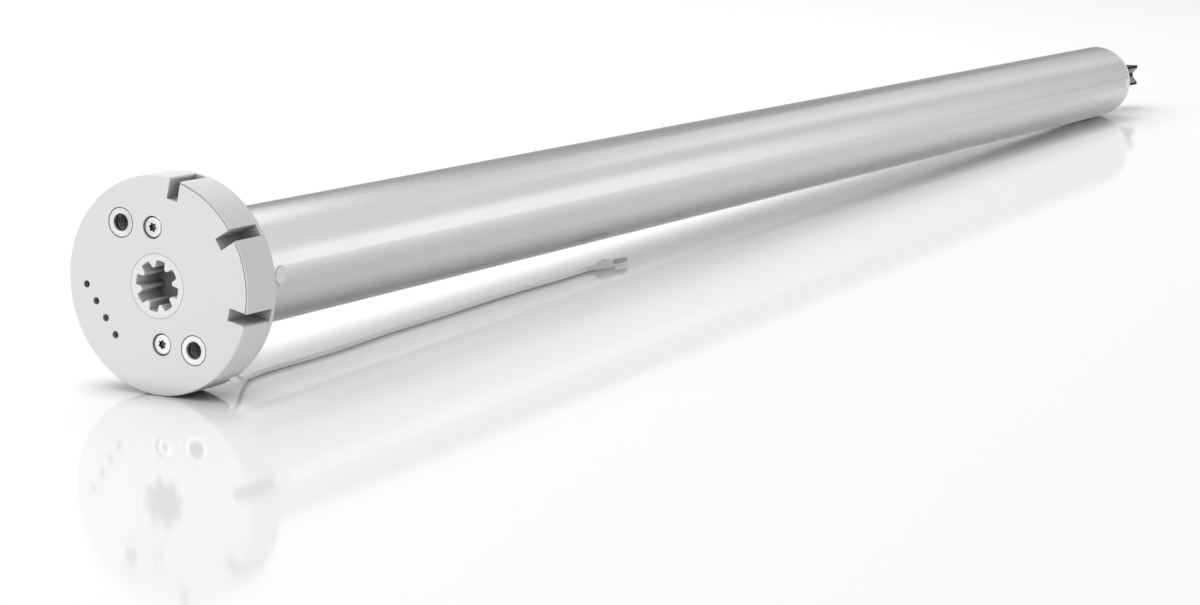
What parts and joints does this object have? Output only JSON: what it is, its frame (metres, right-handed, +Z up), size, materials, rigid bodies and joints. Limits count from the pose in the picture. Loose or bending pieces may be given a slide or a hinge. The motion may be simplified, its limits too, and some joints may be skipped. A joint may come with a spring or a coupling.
{
  "type": "tubular roller blind motor",
  "caption": "Tubular motor for a roller blind: round head with threaded inserts and star socket, long tube, geared drive tenon at the far end, thin antenna lead",
  "frame": {"origin": "centre of the head's front face, on the tube's axis", "axes": "+X runs along the tube from the head to the drive end, +Z is up with the head's antenna outlet low, +Y completes the frame"},
  "size_m": [0.934, 0.071, 0.071],
  "materials": {
    "head_plastic": "fine matt moulded ABS",
    "white_plastic": "smooth white nylon",
    "zinc_steel": "bright zinc plate",
    "black_plastic": "black moulded plastic",
    "inlet_plastic": "dark glass-filled nylon",
    "contact_brass": "plated brass",
    "wire_sheath": "brown PVC",
    "grommet": "white soft rubber",
    "cord_sheath": "smooth white PVC",
    "tip_sheath": "grey heat-shrink",
    "tube_aluminium": "satin anodised, drawn along its length",
    "seal_rubber": "nitrile",
    "tray_plastic": "grey flame-retardant plastic",
    "circuit_board": "green solder mask",
    "connector_plastic": "white nylon",
    "choke_wire": "enamelled copper on a ferrite ring",
    "relay_case": "white relay case",
    "transformer_core": "ferrite and black tape",
    "capacitor_can": "sleeved can",
    "heat_sink_metal": "extruded",
    "shield_can": "tinned shield",
    "damper_rubber": "soft black rubber",
    "cast_alloy": "die cast",
    "can_steel": "phosphated",
    "lamination": "stacked sheets",
    "winding_copper": "enamelled copper",
    "bearing_steel": "ground",
    "shaft_steel": "ground",
    "magnet": "sintered ferrite",
    "friction_lining": "bonded lining",
    "sintered_steel": "sintered, oiled",
    "bush_bronze": "sintered bronze",
    "drive_casting": "dark blackened casting"
  },
  "bodies": {
    "housing": {"face_cover": "head_plastic", "head_housing": "head_plastic", "star_socket": "white_plastic", "bracket_inserts": "zinc_steel", "cover_screws": "zinc_steel", "sounder": "black_plastic", "power_inlet": "inlet_plastic", "inlet_pins": "contact_brass", "power_wires": "wire_sheath", "antenna_grommet": "grommet", "antenna_cord": "cord_sheath", "antenna_sleeve": "cord_sheath", "antenna_tip": "tip_sheath", "tube": "tube_aluminium", "retaining_lugs": "white_plastic", "seal_ring": "seal_rubber", "electronics_tray": "tray_plastic", "power_board": "circuit_board", "logic_board": "circuit_board", "input_connector": "connector_plastic", "noise_choke": "choke_wire", "relays": "relay_case", "transformer": "transformer_core", "bulk_capacitor": "capacitor_can", "heat_sink": "heat_sink_metal", "radio_module": "shield_can", "motor_connector": "connector_plastic", "sensor_board": "circuit_board", "motor_dampers": "damper_rubber", "motor_front_bell": "cast_alloy", "motor_rear_bell": "cast_alloy", "motor_can": "can_steel", "stator_core": "lamination", "stator_windings": "winding_copper", "motor_bearings": "bearing_steel", "brake_coil": "can_steel", "brake_armature": "can_steel", "gearbox_plate": "cast_alloy", "ring_gear": "sintered_steel", "output_housing": "cast_alloy", "output_bushes": "bush_bronze", "end_plate": "white_plastic"},
    "rotor": {"rotor": "lamination", "motor_shaft": "shaft_steel", "sensor_magnet": "magnet", "brake_disc": "friction_lining"},
    "carrier_1": {"carrier_1": "sintered_steel"},
    "carrier_2": {"carrier_2": "sintered_steel"},
    "output": {"carrier_3": "sintered_steel", "drive_shaft": "drive_casting", "shaft_clip": "shaft_steel"},
    "planet_1a": {"planet_1a": "sintered_steel"},
    "planet_1b": {"planet_1b": "sintered_steel"},
    "planet_1c": {"planet_1c": "sintered_steel"},
    "planet_2a": {"planet_2a": "sintered_steel"},
    "planet_2b": {"planet_2b": "sintered_steel"},
    "planet_2c": {"planet_2c": "sintered_steel"},
    "planet_3a": {"planet_3a": "sintered_steel"},
    "planet_3b": {"planet_3b": "sintered_steel"},
    "planet_3c": {"planet_3c": "sintered_steel"}
  },
  "joints": [
    {"name": "output_spin", "type": "hinge", "parent": "housing", "child": "output", "pos_m": [0.9, 0, 0], "axis": [1, 0, 0], "continuous": true},
    {"name": "rotor_spin", "type": "hinge", "parent": "housing", "child": "rotor", "pos_m": [0.591, 0, 0], "axis": [1, 0, 0], "continuous": true},
    {"name": "carrier_1_spin", "type": "hinge", "parent": "housing", "child": "carrier_1", "pos_m": [0.717, 0, 0], "axis": [1, 0, 0], "continuous": true},
    {"name": "carrier_2_spin", "type": "hinge", "parent": "housing", "child": "carrier_2", "pos_m": [0.732, 0, 0], "axis": [1, 0, 0], "continuous": true},
    {"name": "planet_3a_spin", "type": "hinge", "parent": "output", "child": "planet_3a", "pos_m": [0.7394, 0.01012, 0], "axis": [1, 0, 0], "continuous": true},
    {"name": "planet_3b_spin", "type": "hinge", "parent": "output", "child": "planet_3b", "pos_m": [0.7394, -0.00506, 0.00877], "axis": [1, 0, 0], "continuous": true},
    {"name": "planet_3c_spin", "type": "hinge", "parent": "output", "child": "planet_3c", "pos_m": [0.7394, -0.00506, -0.00877], "axis": [1, 0, 0], "continuous": true},
    {"name": "planet_2a_spin", "type": "hinge", "parent": "carrier_2", "child": "planet_2a", "pos_m": [0.7244, 0.01012, 0], "axis": [1, 0, 0], "continuous": true},
    {"name": "planet_2b_spin", "type": "hinge", "parent": "carrier_2", "child": "planet_2b", "pos_m": [0.7244, -0.00506, 0.00877], "axis": [1, 0, 0], "continuous": true},
    {"name": "planet_2c_spin", "type": "hinge", "parent": "carrier_2", "child": "planet_2c", "pos_m": [0.7244, -0.00506, -0.00877], "axis": [1, 0, 0], "continuous": true},
    {"name": "planet_1a_spin", "type": "hinge", "parent": "carrier_1", "child": "planet_1a", "pos_m": [0.7094, 0.01012, 0], "axis": [1, 0, 0], "continuous": true},
    {"name": "planet_1b_spin", "type": "hinge", "parent": "carrier_1", "child": "planet_1b", "pos_m": [0.7094, -0.00506, 0.00877], "axis": [1, 0, 0], "continuous": true},
    {"name": "planet_1c_spin", "type": "hinge", "parent": "carrier_1", "child": "planet_1c", "pos_m": [0.7094, -0.00506, -0.00877], "axis": [1, 0, 0], "continuous": true}
  ],
  "couplings": [
    {"joint": "carrier_2_spin", "follows": "output_spin", "ratio": 3.8571},
    {"joint": "carrier_1_spin", "follows": "output_spin", "ratio": 14.878},
    {"joint": "rotor_spin", "follows": "output_spin", "ratio": 57.385},
    {"joint": "planet_3a_spin", "follows": "output_spin", "ratio": -3.0769},
    {"joint": "planet_3b_spin", "follows": "output_spin", "ratio": -3.0769},
    {"joint": "planet_3c_spin", "follows": "output_spin", "ratio": -3.0769},
    {"joint": "planet_2a_spin", "follows": "output_spin", "ratio": -11.868},
    {"joint": "planet_2b_spin", "follows": "output_spin", "ratio": -11.868},
    {"joint": "planet_2c_spin", "follows": "output_spin", "ratio": -11.868},
    {"joint": "planet_1a_spin", "follows": "output_spin", "ratio": -45.777},
    {"joint": "planet_1b_spin", "follows": "output_spin", "ratio": -45.777},
    {"joint": "planet_1c_spin", "follows": "output_spin", "ratio": -45.777}
  ]
}
